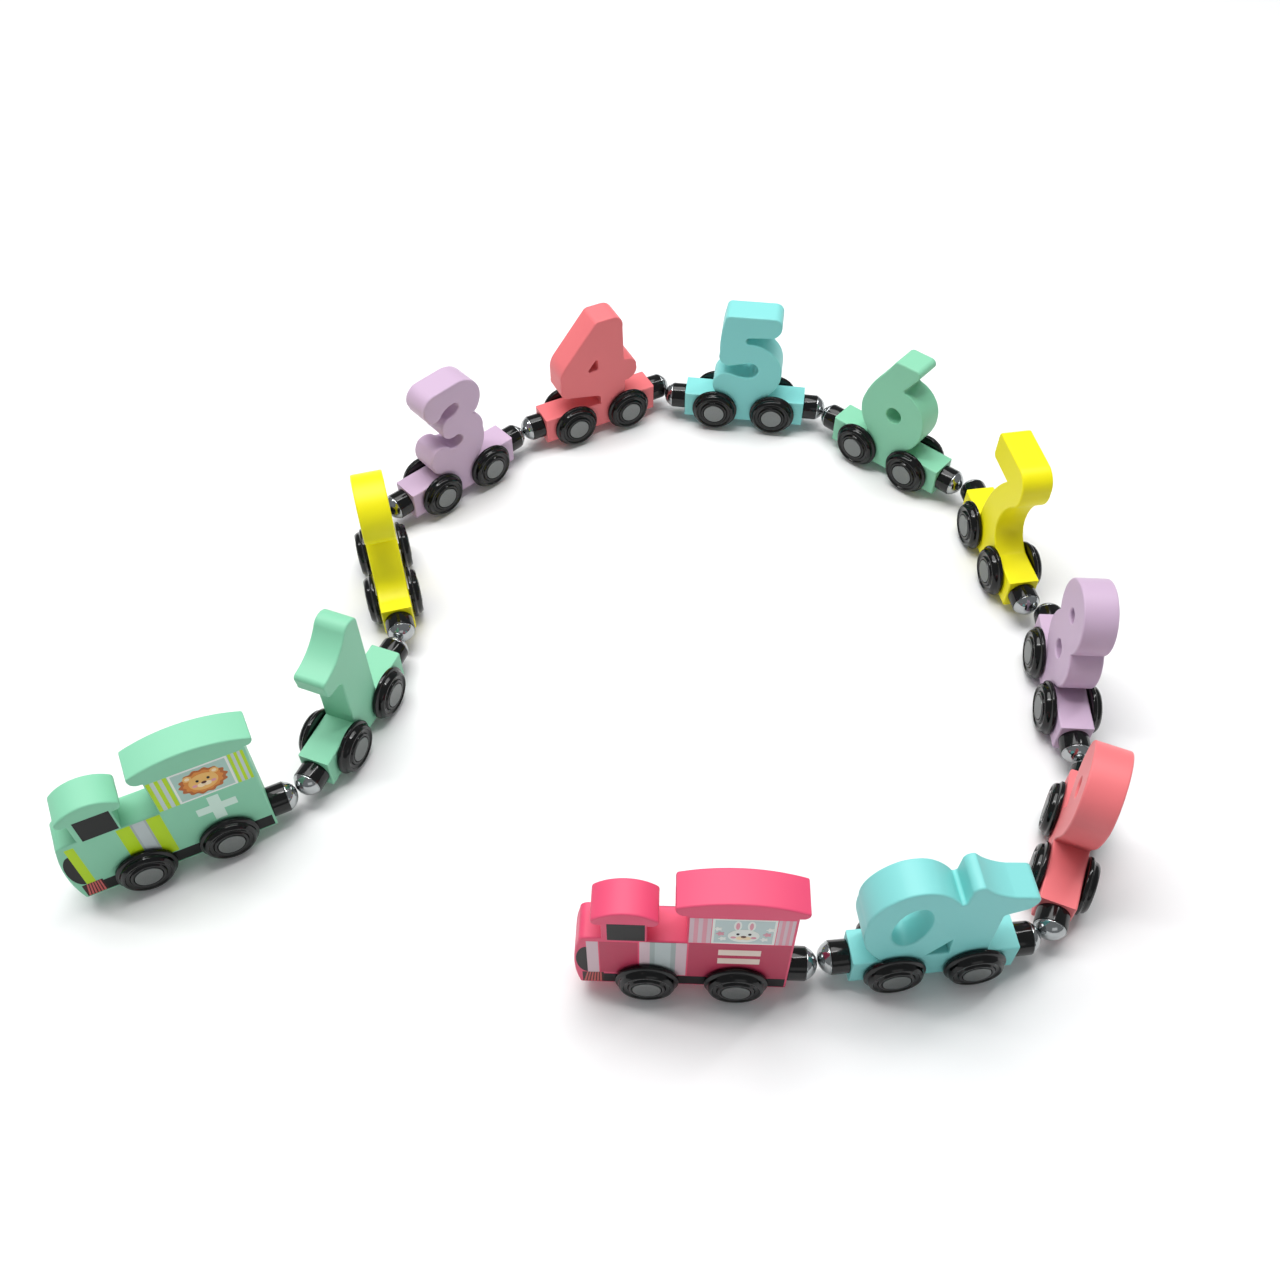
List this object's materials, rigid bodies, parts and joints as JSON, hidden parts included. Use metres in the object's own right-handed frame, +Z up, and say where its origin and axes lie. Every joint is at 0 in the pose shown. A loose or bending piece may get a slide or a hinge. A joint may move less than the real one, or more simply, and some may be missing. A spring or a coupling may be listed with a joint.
{
  "type": "wooden number train set",
  "caption": "Toy train of painted wooden number cars between two engines, with domed magnet couplers and rolling black wheels, set out in a curve.",
  "frame": {"origin": "centre of the whole train's box, on the floor under the wheels", "axes": "+X along the curve's longer side, from the mint engine's side to the far end; +Z up"},
  "size_m": [0.432, 0.3572, 0.0727],
  "materials": {
    "mint_paint": "wood painted in a satin lacquer",
    "yellow_paint": "wood painted in a satin lacquer",
    "lilac_paint": "wood painted in a satin lacquer",
    "coral_paint": "wood painted in a satin lacquer",
    "aqua_paint": "wood painted in a satin lacquer",
    "pink_paint": "wood painted in a satin lacquer",
    "coupler_plastic": "glossy black",
    "magnet_chrome": "bright polished plating",
    "wheel_plastic": "glossy black wheels; the axle and its flat heads are brushed steel"
  },
  "bodies": {
    "mint_engine": {"mint_engine_body": "mint_paint", "mint_engine_couplers": "coupler_plastic", "mint_engine_magnets": "magnet_chrome"},
    "mint_engine_front_wheels": {"mint_engine_front_wheels": "wheel_plastic"},
    "mint_engine_rear_wheels": {"mint_engine_rear_wheels": "wheel_plastic"},
    "car_1": {"car_1_body": "mint_paint", "car_1_couplers": "coupler_plastic", "car_1_magnets": "magnet_chrome"},
    "car_1_front_wheels": {"car_1_front_wheels": "wheel_plastic"},
    "car_1_rear_wheels": {"car_1_rear_wheels": "wheel_plastic"},
    "car_2": {"car_2_body": "yellow_paint", "car_2_couplers": "coupler_plastic", "car_2_magnets": "magnet_chrome"},
    "car_2_front_wheels": {"car_2_front_wheels": "wheel_plastic"},
    "car_2_rear_wheels": {"car_2_rear_wheels": "wheel_plastic"},
    "car_3": {"car_3_body": "lilac_paint", "car_3_couplers": "coupler_plastic", "car_3_magnets": "magnet_chrome"},
    "car_3_front_wheels": {"car_3_front_wheels": "wheel_plastic"},
    "car_3_rear_wheels": {"car_3_rear_wheels": "wheel_plastic"},
    "car_4": {"car_4_body": "coral_paint", "car_4_couplers": "coupler_plastic", "car_4_magnets": "magnet_chrome"},
    "car_4_front_wheels": {"car_4_front_wheels": "wheel_plastic"},
    "car_4_rear_wheels": {"car_4_rear_wheels": "wheel_plastic"},
    "car_5": {"car_5_body": "aqua_paint", "car_5_couplers": "coupler_plastic", "car_5_magnets": "magnet_chrome"},
    "car_5_front_wheels": {"car_5_front_wheels": "wheel_plastic"},
    "car_5_rear_wheels": {"car_5_rear_wheels": "wheel_plastic"},
    "car_6": {"car_6_body": "mint_paint", "car_6_couplers": "coupler_plastic", "car_6_magnets": "magnet_chrome"},
    "car_6_front_wheels": {"car_6_front_wheels": "wheel_plastic"},
    "car_6_rear_wheels": {"car_6_rear_wheels": "wheel_plastic"},
    "car_7": {"car_7_body": "yellow_paint", "car_7_couplers": "coupler_plastic", "car_7_magnets": "magnet_chrome"},
    "car_7_front_wheels": {"car_7_front_wheels": "wheel_plastic"},
    "car_7_rear_wheels": {"car_7_rear_wheels": "wheel_plastic"},
    "car_8": {"car_8_body": "lilac_paint", "car_8_couplers": "coupler_plastic", "car_8_magnets": "magnet_chrome"},
    "car_8_front_wheels": {"car_8_front_wheels": "wheel_plastic"},
    "car_8_rear_wheels": {"car_8_rear_wheels": "wheel_plastic"},
    "car_9": {"car_9_body": "coral_paint", "car_9_couplers": "coupler_plastic", "car_9_magnets": "magnet_chrome"},
    "car_9_front_wheels": {"car_9_front_wheels": "wheel_plastic"},
    "car_9_rear_wheels": {"car_9_rear_wheels": "wheel_plastic"},
    "car_10": {"car_10_body": "aqua_paint", "car_10_couplers": "coupler_plastic", "car_10_magnets": "magnet_chrome"},
    "car_10_front_wheels": {"car_10_front_wheels": "wheel_plastic"},
    "car_10_rear_wheels": {"car_10_rear_wheels": "wheel_plastic"},
    "pink_engine": {"pink_engine_body": "pink_paint", "pink_engine_couplers": "coupler_plastic", "pink_engine_magnets": "magnet_chrome"},
    "pink_engine_front_wheels": {"pink_engine_front_wheels": "wheel_plastic"},
    "pink_engine_rear_wheels": {"pink_engine_rear_wheels": "wheel_plastic"}
  },
  "joints": [
    {"name": "car_4_coupling", "type": "hinge", "parent": "car_5", "child": "car_4", "pos_m": [0.03314, 0.16486, 0.0125], "axis": [0, 0, 1], "range_deg": [-36, 20]},
    {"name": "car_3_coupling", "type": "hinge", "parent": "car_4", "child": "car_3", "pos_m": [-0.04439, 0.1381, 0.0125], "axis": [0, 0, -1], "range_deg": [-28, 50]},
    {"name": "car_2_coupling", "type": "hinge", "parent": "car_3", "child": "car_2", "pos_m": [-0.10924, 0.0792, 0.0125], "axis": [0, 0, -1], "range_deg": [-50, 50]},
    {"name": "car_1_coupling", "type": "hinge", "parent": "car_2", "child": "car_1", "pos_m": [-0.0981, -0.00168, 0.0125], "axis": [0, 0, -1], "range_deg": [-50, 36]},
    {"name": "mint_engine_coupling", "type": "hinge", "parent": "car_1", "child": "mint_engine", "pos_m": [-0.12638, -0.08429, 0.0125], "axis": [0, 0, -1], "range_deg": [-50, 32]},
    {"name": "car_6_coupling", "type": "hinge", "parent": "car_5", "child": "car_6", "pos_m": [0.10681, 0.15451, 0.0125], "axis": [0, 0, -1], "range_deg": [-50, 18]},
    {"name": "car_7_coupling", "type": "hinge", "parent": "car_6", "child": "car_7", "pos_m": [0.17255, 0.09656, 0.0125], "axis": [0, 0, -1], "range_deg": [-50, 20]},
    {"name": "car_8_coupling", "type": "hinge", "parent": "car_7", "child": "car_8", "pos_m": [0.1949, 0.01529, 0.0125], "axis": [0, 0, 1], "range_deg": [-50, 24]},
    {"name": "car_9_coupling", "type": "hinge", "parent": "car_8", "child": "car_9", "pos_m": [0.20021, -0.06854, 0.0125], "axis": [0, 0, 1], "range_deg": [-50, 50]},
    {"name": "car_10_coupling", "type": "hinge", "parent": "car_9", "child": "car_10", "pos_m": [0.17253, -0.1502, 0.0125], "axis": [0, 0, -1], "range_deg": [-50, 20]},
    {"name": "pink_engine_coupling", "type": "hinge", "parent": "car_10", "child": "pink_engine", "pos_m": [0.08673, -0.16399, 0.0125], "axis": [0, 0, -1], "range_deg": [-50, 50]},
    {"name": "mint_engine_front_wheels_axle", "type": "hinge", "parent": "mint_engine", "child": "mint_engine_front_wheels", "pos_m": [-0.18842, -0.11837, 0.012], "axis": [0.4384, -0.8988, 0], "continuous": true},
    {"name": "mint_engine_rear_wheels_axle", "type": "hinge", "parent": "mint_engine", "child": "mint_engine_rear_wheels", "pos_m": [-0.1584, -0.10372, 0.012], "axis": [0.4384, -0.8988, 0], "continuous": true},
    {"name": "car_1_front_wheels_axle", "type": "hinge", "parent": "car_1", "child": "car_1_front_wheels", "pos_m": [-0.11861, -0.06403, 0.012], "axis": [0.9336, -0.3584, 0], "continuous": true},
    {"name": "car_1_rear_wheels_axle", "type": "hinge", "parent": "car_1", "child": "car_1_rear_wheels", "pos_m": [-0.1075, -0.03509, 0.012], "axis": [0.9336, -0.3584, 0], "continuous": true},
    {"name": "car_2_front_wheels_axle", "type": "hinge", "parent": "car_2", "child": "car_2_front_wheels", "pos_m": [-0.10409, 0.01918, 0.012], "axis": [0.9613, 0.2756, 0], "continuous": true},
    {"name": "car_2_rear_wheels_axle", "type": "hinge", "parent": "car_2", "child": "car_2_rear_wheels", "pos_m": [-0.11263, 0.04898, 0.012], "axis": [0.9613, 0.2756, 0], "continuous": true},
    {"name": "car_3_front_wheels_axle", "type": "hinge", "parent": "car_3", "child": "car_3_front_wheels", "pos_m": [-0.09337, 0.09401, 0.012], "axis": [0.682, -0.7314, 0], "continuous": true},
    {"name": "car_3_rear_wheels_axle", "type": "hinge", "parent": "car_3", "child": "car_3_rear_wheels", "pos_m": [-0.0707, 0.11515, 0.012], "axis": [0.682, -0.7314, 0], "continuous": true},
    {"name": "car_4_front_wheels_axle", "type": "hinge", "parent": "car_4", "child": "car_4_front_wheels", "pos_m": [-0.02506, 0.14796, 0.012], "axis": [0.454, -0.891, 0], "continuous": true},
    {"name": "car_4_rear_wheels_axle", "type": "hinge", "parent": "car_4", "child": "car_4_rear_wheels", "pos_m": [0.00257, 0.16203, 0.012], "axis": [0.454, -0.891, 0], "continuous": true},
    {"name": "car_5_front_wheels_axle", "type": "hinge", "parent": "car_5", "child": "car_5_front_wheels", "pos_m": [0.05463, 0.16184, 0.012], "axis": [-0.1392, -0.9903, 0], "continuous": true},
    {"name": "car_5_rear_wheels_axle", "type": "hinge", "parent": "car_5", "child": "car_5_rear_wheels", "pos_m": [0.08532, 0.15752, 0.012], "axis": [-0.1392, -0.9903, 0], "continuous": true},
    {"name": "car_6_front_wheels_axle", "type": "hinge", "parent": "car_6", "child": "car_6_front_wheels", "pos_m": [0.13338, 0.13183, 0.012], "axis": [-0.6691, -0.7431, 0], "continuous": true},
    {"name": "car_6_rear_wheels_axle", "type": "hinge", "parent": "car_6", "child": "car_6_rear_wheels", "pos_m": [0.15642, 0.11108, 0.012], "axis": [-0.6691, -0.7431, 0], "continuous": true},
    {"name": "car_7_front_wheels_axle", "type": "hinge", "parent": "car_7", "child": "car_7_front_wheels", "pos_m": [0.18666, 0.06734, 0.012], "axis": [-0.9877, -0.1564, 0], "continuous": true},
    {"name": "car_7_rear_wheels_axle", "type": "hinge", "parent": "car_7", "child": "car_7_rear_wheels", "pos_m": [0.19151, 0.03672, 0.012], "axis": [-0.9877, -0.1564, 0], "continuous": true},
    {"name": "car_8_front_wheels_axle", "type": "hinge", "parent": "car_8", "child": "car_8_front_wheels", "pos_m": [0.20297, -0.01591, 0.012], "axis": [-0.9986, 0.0523, 0], "continuous": true},
    {"name": "car_8_rear_wheels_axle", "type": "hinge", "parent": "car_8", "child": "car_8_rear_wheels", "pos_m": [0.20135, -0.04687, 0.012], "axis": [-0.9986, 0.0523, 0], "continuous": true},
    {"name": "car_9_front_wheels_axle", "type": "hinge", "parent": "car_9", "child": "car_9_front_wheels", "pos_m": [0.19312, -0.10169, 0.012], "axis": [-0.9205, 0.3907, 0], "continuous": true},
    {"name": "car_9_rear_wheels_axle", "type": "hinge", "parent": "car_9", "child": "car_9_rear_wheels", "pos_m": [0.18101, -0.13023, 0.012], "axis": [-0.9205, 0.3907, 0], "continuous": true},
    {"name": "car_10_front_wheels_axle", "type": "hinge", "parent": "car_10", "child": "car_10_front_wheels", "pos_m": [0.13914, -0.15848, 0.012], "axis": [-0.1045, 0.9945, 0], "continuous": true},
    {"name": "car_10_rear_wheels_axle", "type": "hinge", "parent": "car_10", "child": "car_10_rear_wheels", "pos_m": [0.10831, -0.16173, 0.012], "axis": [-0.1045, 0.9945, 0], "continuous": true},
    {"name": "pink_engine_front_wheels_axle", "type": "hinge", "parent": "pink_engine", "child": "pink_engine_front_wheels", "pos_m": [0.01586, -0.1645, 0.012], "axis": [-0.0349, -0.9994, 0], "continuous": true},
    {"name": "pink_engine_rear_wheels_axle", "type": "hinge", "parent": "pink_engine", "child": "pink_engine_rear_wheels", "pos_m": [0.04924, -0.16567, 0.012], "axis": [-0.0349, -0.9994, 0], "continuous": true}
  ]
}
